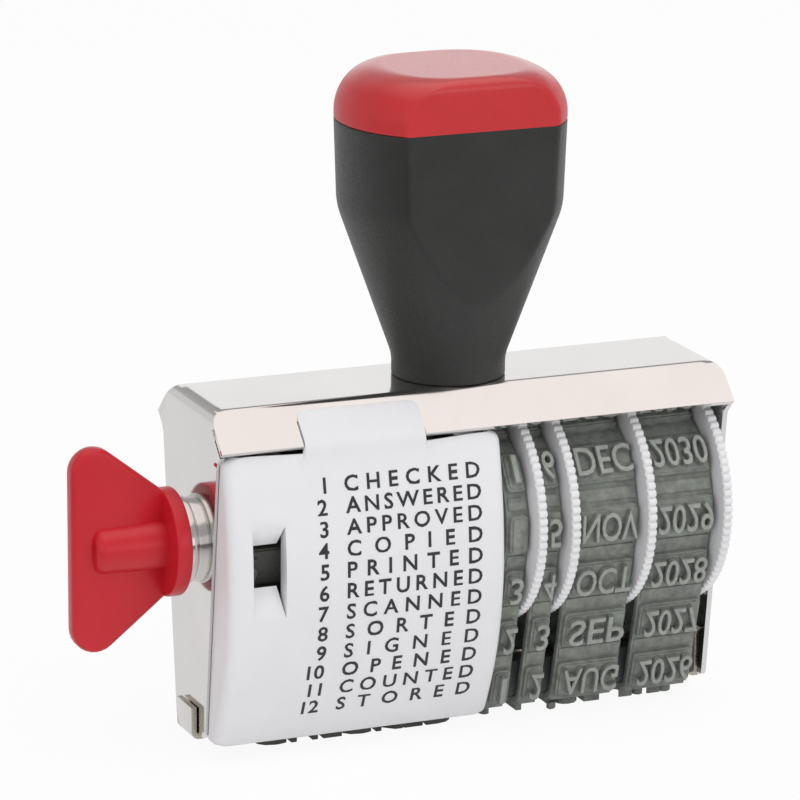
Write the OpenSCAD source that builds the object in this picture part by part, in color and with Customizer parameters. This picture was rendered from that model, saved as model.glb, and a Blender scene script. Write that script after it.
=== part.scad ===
// Hand date stamp: four date bands on thumb wheels and a phrase band on a turn key.
// X runs along the body, the front faces -Y and Z is up.
// The type prints at Z = 0, and the handle stands on the Z axis.

/* [Frame] */
// Outside length of the frame over its end cheeks
frame_w = 71.6; // [69:0.2:80]
// Height of the roof above the print
frame_top = 46.7; // [46:0.1:54]
// Thickness of the frame's sheet
sheet = 0.7; // [0.6:0.05:1]
// Half depth of the flat roof
roof_half = 7.1; // [6.5:0.1:8]
// How far each sloped lip reaches out from the roof
lip_out = 4.6; // [4.2:0.1:5.4]
// How far each sloped lip drops below the roof
lip_drop = 4.5; // [3.8:0.1:5]
// Gap between the lips and the front and back edges of the cheeks
lip_seam = 0.3; // [0.15:0.05:0.5]
// Outside bend radius between the roof and its lips
lip_bend = 0.8; // [0.4:0.1:2]
// Outside bend radius between the roof and the cheeks
cheek_bend = 1.9; // [1.3:0.1:3]
// Half depth of the cheeks at the shoulder under the lips
shoulder_half = 9.8; // [8.5:0.1:10.5]
// Drop from the roof to the shoulder
shoulder_drop = 6.4; // [6:0.1:9]
// Half depth of the cheeks at the foot
foot_half = 5.2; // [4:0.1:7]
// Height of the cheeks' foot above the print
foot_z = 2.5; // [1.8:0.1:4]

/* [Handle] */
// Radius of the neck
neck_r = 7.4; // [6.5:0.1:9]
// Radius of the hollow blend from the neck into the grip
neck_blend = 6; // [3:0.5:9]
// Height on the neck where that blend starts
neck_h = 1.5; // [0.8:0.1:3]
// Height of the grip's shoulder above the roof
grip_h = 22.5; // [18:0.5:27]
// Radius of the grip at its shoulder
grip_r = 14.6; // [13:0.1:16]
// Radius of the round over the shoulder
grip_round = 9; // [2:0.5:14]
// Height of the seam between grip and cap
seam_h = 33.9; // [30:0.1:40]
// How much wider the grip is at the seam than at its shoulder
grip_draft = 0.4; // [0:0.1:1.5]
// Half depth between the flats
flat_half = 10.6; // [9.5:0.1:13]
// Thickness of the cap above the seam
cap_h = 6.8; // [6.6:0.1:9]
// Radius of the round edge of the cap
cap_round = 6.4; // [2:0.1:6.4]
// Radius of its front and back edges
cap_edge = 1.2; // [0.6:0.1:6]
// Wall around the hollow of the grip
grip_wall = 2.2; // [1.4:0.1:3]
// Depth of the plug that seats the cap
plug_h = 3; // [2:0.1:5]
// Clearance around that plug
plug_clear = 0.15; // [0.05:0.05:0.3]

/* [Handle screw] */
// Diameter of the handle screw
screw_d = 5; // [4:0.5:6]
// Diameter of its head
screw_head_d = 8.4; // [7.5:0.1:9.5]
// Height of its head
screw_head_h = 2.4; // [1.8:0.1:3]
// Clearance around the screw in the roof
screw_clear = 0.25; // [0.1:0.05:0.5]
// Thickness of the washer under the roof
washer_t = 0.8; // [0.5:0.1:1]
// Diameter of the washer
washer_d = 10; // [9.6:0.1:12]
// Diameter of the threaded insert
insert_d = 8; // [7.2:0.1:9.5]
// Length of the threaded insert
insert_h = 12; // [8:0.5:15]
// Reach of the screw into the insert
screw_reach = 9; // [5:0.5:12]

/* [Axle and wheels] */
// Height of the axle above the print
axle_z = 28; // [27.5:0.1:29]
// Diameter of the axle
axle_d = 4; // [3:0.1:5]
// Radial play of what turns on the axle
run_play = 0.05; // [0.02:0.01:0.1]
// Radius of the thumb wheels over their teeth
wheel_r = 15.1; // [14.6:0.1:15.6]
// Thickness of a thumb wheel
disc_t = 1.2; // [1:0.05:1.5]
// Number of teeth around a thumb wheel
teeth = 88; // [48:2:96]
// Depth of those teeth
tooth_depth = 0.45; // [0.2:0.05:0.8]
// Radius of the date drums
drum_r = 10.7; // [10:0.1:11]
// Side play between neighbouring wheels
wheel_play = 0.2; // [0.1:0.05:0.4]
// Side play between the last wheel and the right cheek
end_play = 0.8; // [0.3:0.05:1.2]

/* [Bands] */
// Positions around each band
positions = 13; // [12:1:14]
// Thickness of the band itself
band_base = 0.9; // [0.7:0.05:1.1]
// Height of the plates that carry the type
plate_h = 0.9; // [0.6:0.05:1]
// Height of the type
type_h = 0.9; // [0.5:0.05:1]
// Length of a plate along the band
plate_len = 5.1; // [4.6:0.1:5.4]
// Height of the printed characters
type_len = 4; // [3:0.1:4.4]
// Width of the two day bands
narrow_band = 3.1; // [2.6:0.1:4]
// Width of the month and year bands
wide_band = 9.3; // [8.4:0.05:9.6]
// Side play of a band between its wheels
band_side = 0.2; // [0.1:0.05:0.4]
// Play between a band and its drum
band_play = 0.3; // [0.2:0.05:0.4]
// How far the plates stay inside the edges of a band
plate_inset = 0.3; // [0.1:0.05:0.5]
// How far the date row in use sits ahead of the middle of the platen
date_shift = 0.5; // [0:0.1:0.8]
// How far the phrase row in use sits ahead of that middle
phrase_shift = 1.6; // [0:0.1:1.8]
// Gap between neighbouring characters
type_gap = 0.35; // [0.2:0.05:0.5]

/* [Former] */
// Half depth of the platen under the date bands
date_half = 5; // [4.4:0.05:5.1]
// Half depth of the platen under the phrase band
phrase_half = 4; // [3.4:0.05:4.2]
// Radius of the bands' bend round the platen
turn_r = 1.15; // [0.9:0.05:1.4]
// Play between the platen and the bands
platen_play = 0.1; // [0.05:0.05:0.2]
// Width of the strap
strap_w = 5.4; // [4:0.1:6.5]
// Thickness of the strap
strap_t = 0.75; // [0.5:0.05:1]
// Height of the strap's top above the print
strap_top = 8.55; // [7.5:0.05:9.5]
// Top of the hooks outside the cheeks
hook_top = 6.1; // [4.5:0.1:8]
// Play between the strap and the cheeks
strap_play = 0.15; // [0.05:0.05:0.3]

/* [Phrase side] */
// Radius of the phrase drum
phrase_r = 8; // [7:0.1:8.2]
// Gap between the left cheek and the phrase band
phrase_left = 1.6; // [1.3:0.1:3]
// Room at the left of the phrase band for its numbers
number_w = 4.2; // [3:0.1:6]
// Height of those numbers, below the type
number_h = 0.4; // [0.2:0.05:0.6]
// Diameter of the drum's cross pin
pin_d = 1.5; // [1:0.1:2]
// Outside diameter of the spacer beside the drum
spacer_d = 10; // [8:0.5:14]

/* [Cover] */
// Wall of the cover
cover_wall = 0.9; // [0.7:0.05:1]
// Gap between the cover and the first date drum
cover_gap = 0.5; // [0.3:0.05:1]
// Play between the cover and the left cheek
cover_play = 0.15; // [0.1:0.05:0.3]
// How much of the left cheek's front edge the cover leaves in sight
cheek_show = 0.4; // [0.2:0.05:0.6]
// How far the cover's side walls reach behind the cheeks' front edges
side_lap = 0.6; // [0.3:0.1:0.8]
// Forward reach of the cover at its top edge
cover_top_out = 11.2; // [10.8:0.1:11.6]
// Forward reach of the curve's upper handle
cover_high_out = 15.4; // [15:0.1:16.5]
// Forward reach of the curve's lower handle
cover_low_out = 14.2; // [13.6:0.1:15]
// Forward reach of the cover at its bottom edge
cover_foot_out = 7.6; // [7.4:0.1:8.5]
// Height of the cover's bottom edge
cover_foot_z = 2.1; // [1.4:0.1:2.4]
// Left end of the tab that fills the notch in the lip
tab_x = -24.5; // [-28:0.1:-20]
// Width of the tab
tab_w = 16.5; // [12:0.1:20]
// Play between the tab and its notch
tab_play = 0.2; // [0.1:0.05:0.4]
// Left edge of the window
window_x = -32.3; // [-33:0.1:-30]
// Width of the window
window_w = 4.5; // [3:0.1:6]
// Bottom of the window's outer edge
window_low = 20.4; // [19:0.1:23]
// Top of the window's outer edge
window_high = 32.4; // [29:0.1:34]
// Height of the slope under the window
window_sill = 3.8; // [2:0.1:4]
// Height of the slope over the window
window_head = 2.6; // [1:0.1:3]

/* [Key] */
// Diameter of the bush
bush_d = 11.6; // [10:0.1:13]
// Length of the bush outside the cheek
bush_h = 2; // [1.2:0.1:3]
// Diameter of the bush where it goes through the cheek
spigot_d = 9; // [6.5:0.1:10]
// End play between the bush and the key
key_play = 0.1; // [0.05:0.05:0.2]
// Diameter of the key's flange
flange_d = 14.1; // [13:0.1:16]
// Thickness of the flange
flange_t = 2; // [1.4:0.1:3]
// Reach of the wing from the flange
wing_reach = 12.2; // [10:0.1:16]
// Half height of the wing at its outer end
wing_half = 13.5; // [10:0.1:14.5]
// Thickness of the wing
wing_t = 2.5; // [1.8:0.1:3.5]
// Radius of the wing's ears
ear_r = 3.2; // [1.5:0.1:4]
// Diameter of the key's boss
boss_d = 6.8; // [6.4:0.1:8]
// Length of the boss from the flange
boss_h = 9.4; // [6:0.1:11]
// Wall left at the end of the boss
boss_end = 1.5; // [1:0.1:2.5]

/* [Axle clip] */
// Diameter of the clip at the right end
clip_d = 7.2; // [6.4:0.1:9]
// Thickness of the clip
clip_t = 0.8; // [0.5:0.1:1.2]
// Length of axle past the clip
axle_over = 0.4; // [0.2:0.1:1]

/* [Hidden] */
$fn = 64;
over = 1;

// Handle
seam_r = grip_r + grip_draft;
mouth_r = seam_r - grip_wall;
mouth_half = flat_half - grip_wall;
blend_share = 0.3;

// Frame
frame_x = frame_w / 2;
cheek_x = frame_x - sheet;
lip_half = roof_half + lip_out;
lip_z = frame_top - lip_drop;
lip_len = norm([lip_out, lip_drop]);
lip_dir = [lip_out, -lip_drop] / lip_len;
lip_normal = [lip_drop, lip_out] / lip_len;
lip_end = [lip_half, lip_z] - sheet * lip_normal;
lip_inner = [roof_half - sheet * tan(atan2(lip_drop, lip_out) / 2), frame_top - sheet];
shoulder_z = frame_top - shoulder_drop;
shoulder_round = 1.6;
foot_round = 1;

// Wheels, from the right cheek to the left: each is [left face of its disc, left end of its drum]
slot_wide = wide_band + 2 * band_side;
slot_narrow = narrow_band + 2 * band_side;
year_x = cheek_x - end_play - disc_t;
month_x = year_x - slot_wide - disc_t;
units_x = month_x - slot_wide - disc_t;
tens_x = units_x - slot_narrow - disc_t;
drum_left = tens_x - slot_narrow;
axle_r = axle_d / 2;

// Bands
band_r = drum_r + band_play;
phrase_band_r = phrase_r + band_play;
turn_z = type_h + plate_h + band_base + turn_r;
print_top = type_h + plate_h + band_base;
plate_sink = 0.55 * band_base;
type_sink = 0.3 * plate_h;
drum_steps = 40;
turn_steps = 6;

// Phrase side
cover_right = drum_left - cover_gap;
cover_left = -frame_x + cheek_show;
side_x = -cheek_x + cover_play;
phrase_x0 = -cheek_x + phrase_left;
phrase_x1 = cover_right - cover_wall - band_side;
drum_end = phrase_x1;

// Former
leg_out = cheek_x - strap_play;
leg_in = leg_out - strap_t;
hook_in = frame_x + strap_play;
hook_out = hook_in + strap_t;
strap_low = foot_z - strap_t;

// Cover
cover_lip_gap = 0.25;
high_share = 0.62;
low_share = 0.34;
cover_top_z = lip_end.y - cover_lip_gap;
cover_high_z = high_share * cover_top_z;
cover_low_z = low_share * cover_top_z;
cover_steps = 16;
tab_start = 1;
tab_proud = 0.15;
tab_foot = 0.06;
window_clear = 0.45;
window_back = phrase_band_r + band_base + plate_h + type_h + window_clear;
window_rim = 0.9;

// Key
bush_x = -frame_x - bush_h;
spigot_proud = 0.5;
bush_inner_x = -cheek_x + spigot_proud;
flange_x = bush_x - key_play - flange_t;
wing_x = flange_x - wing_reach;
wing_inset = 0.6;
boss_x = flange_x - boss_h;
axle_x0 = boss_x + boss_end;
clip_x = frame_x + key_play;
axle_x1 = clip_x + clip_t + axle_over;

// Geometry helpers
function unit(v) = v / norm(v);

function arc(c, r, a0, a1, n) =
  [for (i = [0:n]) let (a = a0 + (a1 - a0) * i / n) c + r * [cos(a), sin(a)]];

// Arc of radius r that rounds the corner b between a and c
function corner(a, b, c, r) =
  let (
    u = unit(a - b),
    v = unit(c - b),
    half = acos(u * v) / 2,
    m = b + unit(u + v) * r / sin(half),
    p = b + u * r / tan(half) - m,
    q = b + v * r / tan(half) - m,
    a0 = atan2(p.y, p.x),
    sweep = (atan2(q.y, q.x) - a0 + 540) % 360 - 180
  )
  arc(m, r, a0, a0 + sweep, 6);

// Outline from [x, y, radius] corners
function rounded(pts) =
  let (n = len(pts))
  [for (i = [0:n - 1])
    let (
      a = pts[(i + n - 1) % n],
      b = pts[i],
      c = pts[(i + 1) % n]
    )
    each (b.z > 0
      ? corner([a.x, a.y], [b.x, b.y], [c.x, c.y], b.z)
      : [[b.x, b.y]])];

function mirrored(pts) =
  let (n = len(pts))
  concat(pts, [for (i = [n - 1:-1:0]) concat([-pts[i].x], [for (k = [1:len(pts[i]) - 1]) pts[i][k]])]);

module along_x(x0, x1) {
  translate([x0, 0, 0])
    rotate([90, 0, 90])
      linear_extrude(x1 - x0) children();
}

module along_y(y0, y1) {
  translate([0, y1, 0])
    rotate([90, 0, 0])
      linear_extrude(y1 - y0) children();
}

module round_x(x0, x1, r) {
  translate([x0, 0, axle_z])
    rotate([0, 90, 0])
      cylinder(h = x1 - x0, r = r);
}

// Frame
module frame_outline() {
  polygon(rounded(mirrored([
    [roof_half, frame_top, lip_bend],
    [lip_half, lip_z, 0],
    [lip_end.x, lip_end.y, 0],
    [shoulder_half, shoulder_z, shoulder_round],
    [foot_half, foot_z, foot_round]
  ])));
}

module frame_end_outline(x, top, bend) {
  polygon(rounded([
    [-x, foot_z - over, 0],
    [x, foot_z - over, 0],
    [x, top, bend],
    [-x, top, bend]
  ]));
}

module frame_hollow() {
  intersection() {
    along_x(-cheek_x, cheek_x)
      polygon(mirrored([lip_inner, lip_end, [lip_end.x, foot_z - 2 * over]]));
    along_y(-lip_half - over, lip_half + over)
      frame_end_outline(cheek_x, frame_top - sheet, cheek_bend - sheet);
  }
}

// Slits under both lips, from the end of the cheeks' bend downwards
module lip_slits() {
  top = [roof_half, frame_top] + cheek_bend * lip_dir - sheet * lip_normal;
  low = lip_end + over * lip_dir;
  back = lip_seam * lip_normal;
  for (flip = [0, 1])
    mirror([flip, 0])
      polygon([top, low, low - back, top - back]);
}

module frame() {
  color([0.86, 0.85, 0.84])
    difference() {
      intersection() {
        along_x(-frame_x, frame_x) frame_outline();
        along_y(-lip_half - over, lip_half + over)
          frame_end_outline(frame_x, frame_top, cheek_bend);
      }
      frame_hollow();
      translate([tab_x - tab_play, -lip_half - over, lip_end.y - over])
        cube([tab_w + 2 * tab_play, lip_out + over, lip_drop + 2 * over]);
      along_x(-frame_x - over, -cheek_x + over) lip_slits();
      along_x(cheek_x - over, frame_x + over) lip_slits();
      round_x(-frame_x - over, -cheek_x + over, spigot_d / 2);
      round_x(cheek_x - over, frame_x + over, axle_r + run_play);
      translate([0, 0, frame_top - sheet - over])
        cylinder(h = sheet + 2 * over, d = screw_d + 2 * screw_clear);
    }
}

// Handle
module handle_slab(half) {
  along_x(-seam_r - over, seam_r + over)
    polygon([[-half, 0], [half, 0], [half, seam_h], [-half, seam_h]]);
}

module handle_body() {
  cone_lean = atan2(grip_r - neck_r, grip_h - neck_h - blend_share * neck_blend);
  color([0.2, 0.21, 0.2])
    translate([0, 0, frame_top])
      difference() {
        intersection() {
          rotate_extrude()
            polygon(rounded([
              [0, 0, 0],
              [neck_r, 0, 0],
              [neck_r, neck_h + neck_blend * tan(cone_lean / 2), neck_blend],
              [grip_r, grip_h, grip_round],
              [seam_r, seam_h, 0],
              [0, seam_h, 0]
            ]));
          handle_slab(flat_half);
        }
        intersection() {
          rotate_extrude()
            polygon([
              [0, insert_h + grip_wall],
              [neck_r - grip_wall, insert_h + grip_wall],
              [grip_r - 2 * grip_wall, grip_h],
              [mouth_r, seam_h - plug_h - plug_clear],
              [mouth_r, seam_h + over],
              [0, seam_h + over]
            ]);
          along_x(-seam_r - over, seam_r + over)
            polygon([
              [-mouth_half, 0],
              [mouth_half, 0],
              [mouth_half, seam_h + 2 * over],
              [-mouth_half, seam_h + 2 * over]
            ]);
        }
        translate([0, 0, -over])
          cylinder(h = insert_h + over, d = insert_d);
      }
}

module handle_cap() {
  cap_top = seam_h + cap_h;
  plug_r = mouth_r - plug_clear;
  plug_half = mouth_half - plug_clear;
  color([0.84, 0.1, 0.13])
    translate([0, 0, frame_top])
      union() {
        intersection() {
          rotate_extrude()
            polygon(rounded([
              [0, seam_h, 0],
              [seam_r, seam_h, 0],
              [seam_r, cap_top, cap_round],
              [0, cap_top, 0]
            ]));
          along_x(-seam_r - over, seam_r + over)
            polygon(rounded([
              [-flat_half, seam_h - over, 0],
              [flat_half, seam_h - over, 0],
              [flat_half, cap_top, cap_edge],
              [-flat_half, cap_top, cap_edge]
            ]));
        }
        intersection() {
          translate([0, 0, seam_h - plug_h])
            cylinder(h = plug_h + over, r = plug_r);
          translate([-seam_r, -plug_half, seam_h - plug_h - over])
            cube([2 * seam_r, 2 * plug_half, plug_h + 2 * over]);
        }
      }
}

module handle_insert() {
  color([0.78, 0.62, 0.3])
    translate([0, 0, frame_top])
      difference() {
        cylinder(h = insert_h, d = insert_d);
        translate([0, 0, -over])
          cylinder(h = insert_h + 2 * over, d = screw_d);
      }
}

module handle_screw() {
  head_z = frame_top - sheet - washer_t;
  color([0.62, 0.62, 0.64])
    union() {
      translate([0, 0, head_z])
        cylinder(h = washer_t + sheet + screw_reach, d = screw_d);
      difference() {
        translate([0, 0, head_z - screw_head_h])
          cylinder(h = screw_head_h, d = screw_head_d);
        translate([0, 0, head_z - screw_head_h - over])
          cylinder(h = screw_head_h / 2 + over, d = screw_d / 2, $fn = 6);
      }
    }
}

module handle_washer() {
  color([0.7, 0.7, 0.72])
    translate([0, 0, frame_top - sheet - washer_t])
      difference() {
        cylinder(h = washer_t, d = washer_d);
        translate([0, 0, -over])
          cylinder(h = washer_t + 2 * over, d = screw_d + 2 * screw_clear);
      }
}

// Belt path round a drum of radius r and a platen of half depth h
function turn_y(h) = h + platen_play - turn_r;
function reach(h) = [turn_y(h), axle_z - turn_z];
function lean(r, h) = asin((r - turn_r) / norm(reach(h))) - atan2(turn_y(h), axle_z - turn_z);
function run_len(r, h) = sqrt(pow(norm(reach(h)), 2) - pow(r - turn_r, 2));
function arc_len(r, a) = r * a * PI / 180;
function mid_r(r) = r + band_base / 2;
function turn_len(r, h) = arc_len(mid_r(turn_r), 90 - lean(r, h));

function belt_len(r, h) =
  2 * (turn_y(h) + turn_len(r, h) + run_len(r, h) + arc_len(mid_r(r), 90 + lean(r, h)));

function belt_outline(r, h, o) =
  concat(
    arc([0, axle_z], r + o, 180 + lean(r, h), -lean(r, h), drum_steps),
    arc([turn_y(h), turn_z], turn_r + o, -lean(r, h), -90, turn_steps),
    arc([-turn_y(h), turn_z], turn_r + o, -90, lean(r, h) - 180, turn_steps)
  );

// Place on the belt's middle line, s from the print along the front: [y, z, angle of the normal]
function belt_front(s, r, h) =
  let (
    s1 = s - turn_y(h),
    s2 = s1 - turn_len(r, h),
    s3 = s2 - run_len(r, h),
    slope = 180 + lean(r, h)
  )
  s1 <= 0 ? [-s, turn_z - mid_r(turn_r), 270] :
  s2 <= 0 ? let (a = 270 - s1 / mid_r(turn_r) * 180 / PI)
    [-turn_y(h) + mid_r(turn_r) * cos(a), turn_z + mid_r(turn_r) * sin(a), a] :
  s3 <= 0 ? [
    -turn_y(h) + mid_r(turn_r) * cos(slope) + s2 * sin(slope),
    turn_z + mid_r(turn_r) * sin(slope) - s2 * cos(slope),
    slope
  ] :
  let (a = slope - s3 / mid_r(r) * 180 / PI)
    [mid_r(r) * cos(a), axle_z + mid_r(r) * sin(a), a];

function belt_at(s, r, h) =
  let (p = belt_front(abs(s), r, h))
  s >= 0 ? p : [-p.x, p.y, 180 - p.z];

module on_belt(r, h, shift) {
  pitch = belt_len(r, h) / positions;
  first = -floor((positions - 1) / 2);
  for (i = [first:first + positions - 1]) {
    p = belt_at(i * pitch + shift, r, h);
    translate([0, p.x, p.y])
      rotate([p.z, 0, 0])
        children();
  }
}

module belt_loop(x0, x1, r, h) {
  difference() {
    along_x(x0, x1) polygon(belt_outline(r, h, band_base));
    along_x(x0 - over, x1 + over) polygon(belt_outline(r, h, 0));
  }
}

module raised(x0, x1, from, to, length) {
  translate([x0, from, -length / 2])
    cube([x1 - x0, to - from, length]);
}

module band(x0, x1, characters) {
  plate_top = band_base / 2 + plate_h;
  left = x0 + plate_inset + type_gap;
  room = x1 - x0 - 2 * plate_inset - type_gap;
  step = room / characters;
  union() {
    belt_loop(x0, x1, band_r, date_half);
    on_belt(band_r, date_half, date_shift) {
      union() {
        raised(x0 + plate_inset, x1 - plate_inset, band_base / 2 - plate_sink, plate_top, plate_len);
        for (k = [0:characters - 1])
          raised(left + k * step, left + (k + 1) * step - type_gap,
            plate_top - type_sink, plate_top + type_h, type_len);
      }
    }
  }
}

module date_band(wheel_x, width, characters) {
  color([0.44, 0.46, 0.44])
    band(wheel_x - band_side - width, wheel_x - band_side, characters);
}

module tens_band() date_band(tens_x, narrow_band, 1);
module units_band() date_band(units_x, narrow_band, 1);
module month_band() date_band(month_x, wide_band, 3);
module year_band() date_band(year_x, wide_band, 4);

module phrase_band() {
  plate_top = band_base / 2 + plate_h;
  type_x = phrase_x0 + number_w;
  color([0.33, 0.33, 0.31])
    union() {
      belt_loop(phrase_x0, phrase_x1, phrase_band_r, phrase_half);
      on_belt(phrase_band_r, phrase_half, phrase_shift) {
        union() {
          raised(phrase_x0 + plate_inset, phrase_x1 - plate_inset,
            band_base / 2 - plate_sink, plate_top, plate_len);
          raised(type_x, phrase_x1 - plate_inset - type_gap,
            plate_top - type_sink, plate_top + type_h, type_len);
          raised(phrase_x0 + plate_inset + type_gap, type_x - type_gap,
            plate_top - type_sink, plate_top + number_h, type_len);
        }
      }
    }
}

// Axle and wheels
function wheel_outline() =
  [for (i = [0:2 * teeth - 1])
    let (r = wheel_r - (i % 2) * tooth_depth, a = 180 * i / teeth)
    r * [cos(a), sin(a)]];

module wheel(disc_x, drum_x) {
  color([0.92, 0.92, 0.93])
    difference() {
      union() {
        translate([0, 0, axle_z])
          along_x(disc_x, disc_x + disc_t) polygon(wheel_outline());
        round_x(drum_x, disc_x + disc_t / 2, drum_r);
      }
      round_x(drum_x - over, disc_x + disc_t + over, axle_r + run_play);
    }
}

module tens_wheel() wheel(tens_x, drum_left);
module units_wheel() wheel(units_x, tens_x + disc_t + wheel_play);
module month_wheel() wheel(month_x, units_x + disc_t + wheel_play);
module year_wheel() wheel(year_x, month_x + disc_t + wheel_play);

module axle() {
  color([0.72, 0.72, 0.74])
    difference() {
      round_x(axle_x0, axle_x1, axle_r);
      translate([drum_end - spacer_d / 2, 0, 0])
        cylinder(h = frame_top, d = pin_d);
    }
}

module phrase_drum() {
  color([0.9, 0.9, 0.9])
    difference() {
      round_x(phrase_x0, drum_end, phrase_r);
      round_x(phrase_x0 - over, drum_end + over, axle_r);
      translate([drum_end - spacer_d / 2, 0, 0])
        cylinder(h = frame_top, d = pin_d);
    }
}

module drum_pin() {
  pin_half = phrase_r - band_play;
  color([0.6, 0.6, 0.62])
    translate([drum_end - spacer_d / 2, 0, axle_z - pin_half])
      cylinder(h = 2 * pin_half, d = pin_d);
}

module drum_spacer() {
  color([0.75, 0.75, 0.76])
    difference() {
      round_x(drum_end, drum_left - wheel_play, spacer_d / 2);
      round_x(drum_end - over, drum_left + over, axle_r);
    }
}

module axle_clip() {
  color([0.5, 0.5, 0.52])
    difference() {
      round_x(clip_x, clip_x + clip_t, clip_d / 2);
      round_x(clip_x - over, clip_x + clip_t + over, axle_r);
    }
}

// Former
module former_strap() {
  color([0.84, 0.82, 0.78])
    along_y(-strap_w / 2, strap_w / 2)
      polygon(mirrored([
        [leg_in, strap_top - strap_t],
        [leg_in, strap_low],
        [hook_out, strap_low],
        [hook_out, hook_top],
        [hook_in, hook_top],
        [hook_in, foot_z],
        [leg_out, foot_z],
        [leg_out, strap_top]
      ]));
}

module platen_section(x0, x1, half) {
  platen_round = turn_r - platen_play;
  low = print_top + platen_play;
  along_x(x0, x1)
    polygon(rounded([
      [-half, strap_top - strap_t, 0],
      [-half, low, platen_round],
      [half, low, platen_round],
      [half, strap_top - strap_t, 0]
    ]));
}

module platen() {
  color([0.3, 0.3, 0.31])
    union() {
      platen_section(-leg_in, leg_in, phrase_half);
      platen_section(phrase_x1 + band_side, leg_in, date_half);
    }
}

// Cover
function cover_point(t) =
  let (u = 1 - t)
  pow(u, 3) * [-cover_top_out, cover_top_z]
  + 3 * u * u * t * [-cover_high_out, cover_high_z]
  + 3 * u * t * t * [-cover_low_out, cover_low_z]
  + pow(t, 3) * [-cover_foot_out, cover_foot_z];

function cover_slope(t) = unit(cover_point(t + 0.01) - cover_point(t - 0.01));
function cover_inside(t, depth) = let (d = cover_slope(t)) cover_point(t) + depth * [-d.y, d.x];

function cover_front() = [for (i = [0:cover_steps]) cover_point(i / cover_steps)];
function cover_back(depth) = [for (i = [cover_steps:-1:0]) cover_inside(i / cover_steps, depth)];
function cover_side(lap) =
  concat(cover_front(), [
    [lap - foot_half, cover_foot_z],
    [lap - foot_half, foot_z],
    [lap - shoulder_half, shoulder_z],
    [lap - shoulder_half, cover_top_z]
  ]);

function tab_outline() =
  let (
    flip = [[-1, 0], [0, 1]],
    n = flip * lip_normal,
    top = flip * ([roof_half, frame_top] + tab_start * lip_dir) + tab_proud * n,
    knee = flip * [lip_half, lip_z] + tab_proud * n
  )
  [
    top, knee, cover_point(tab_foot), cover_inside(tab_foot, cover_wall),
    knee - cover_wall * n, top - cover_wall * n
  ];

module cover() {
  window_front = cover_high_out;
  window_face = -cover_point(0.5).x;
  spread = (window_front - window_face) / (window_face - window_back);
  color([0.92, 0.92, 0.94])
    difference() {
      union() {
        along_x(cover_left, cover_right)
          polygon(concat(cover_front(), cover_back(cover_wall)));
        along_x(cover_left, side_x + cover_wall)
          polygon(cover_side(-cover_play));
        for (x = [side_x, cover_right - cover_wall])
          along_x(x, x + cover_wall)
            polygon(cover_side(side_lap));
        along_x(tab_x, tab_x + tab_w) polygon(tab_outline());
        intersection() {
          along_x(window_x - window_rim, window_x + window_w + window_rim)
            polygon(cover_side(side_lap));
          translate([cover_left, -window_front, window_low - window_rim])
            cube([frame_x, window_front - window_back, window_high - window_low + 2 * window_rim]);
        }
      }
      along_x(window_x, window_x + window_w)
        polygon([
          [-window_front, window_low - window_sill * spread],
          [-window_back, window_low + window_sill],
          [-window_back + over, window_low + window_sill],
          [-window_back + over, window_high - window_head],
          [-window_back, window_high - window_head],
          [-window_front, window_high + window_head * spread]
        ]);
      translate([cover_left - over, -cover_high_out, shoulder_z - shoulder_round])
        cube([side_x - cover_left + over, cover_high_out, shoulder_drop]);
    }
}

// Key
function wing_outline() =
  let (
    root = [flange_x + flange_t / 2, flange_d / 2 - wing_inset],
    ear = [wing_x + ear_r, wing_half - ear_r],
    to_root = root - ear,
    tangent = atan2(to_root.y, to_root.x) + acos(ear_r / norm(to_root)),
    upper = concat([root], arc(ear, ear_r, tangent, 180, 8))
  )
  concat(upper, [for (i = [len(upper) - 1:-1:0]) [upper[i].x, -upper[i].y]]);

module key_bush() {
  color([0.8, 0.8, 0.8])
    difference() {
      union() {
        round_x(bush_x, -frame_x, bush_d / 2);
        round_x(-frame_x - over / 2, bush_inner_x, spigot_d / 2);
      }
      round_x(bush_x - over, bush_inner_x + over, axle_r + run_play);
    }
}

module key() {
  color([0.82, 0.11, 0.18])
    difference() {
      union() {
        round_x(flange_x, flange_x + flange_t, flange_d / 2);
        round_x(boss_x, flange_x + flange_t / 2, boss_d / 2);
        translate([0, 0, axle_z])
          along_y(-wing_t / 2, wing_t / 2)
            polygon(wing_outline());
      }
      round_x(axle_x0, flange_x + flange_t + over, axle_r);
    }
}

frame();
handle_body();
handle_cap();
handle_insert();
handle_screw();
handle_washer();
cover();
former_strap();
platen();
key_bush();
phrase_band();
tens_band();
units_band();
month_band();
year_band();
key();
axle();
phrase_drum();
drum_pin();
drum_spacer();
axle_clip();
tens_wheel();
units_wheel();
month_wheel();
year_wheel();
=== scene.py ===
"""Looks of the hand date stamp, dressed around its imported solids.

Sizes are in millimetres until a piece is finished.
"""

import math

import bmesh
import bpy
from mathutils import Matrix, Vector


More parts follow.
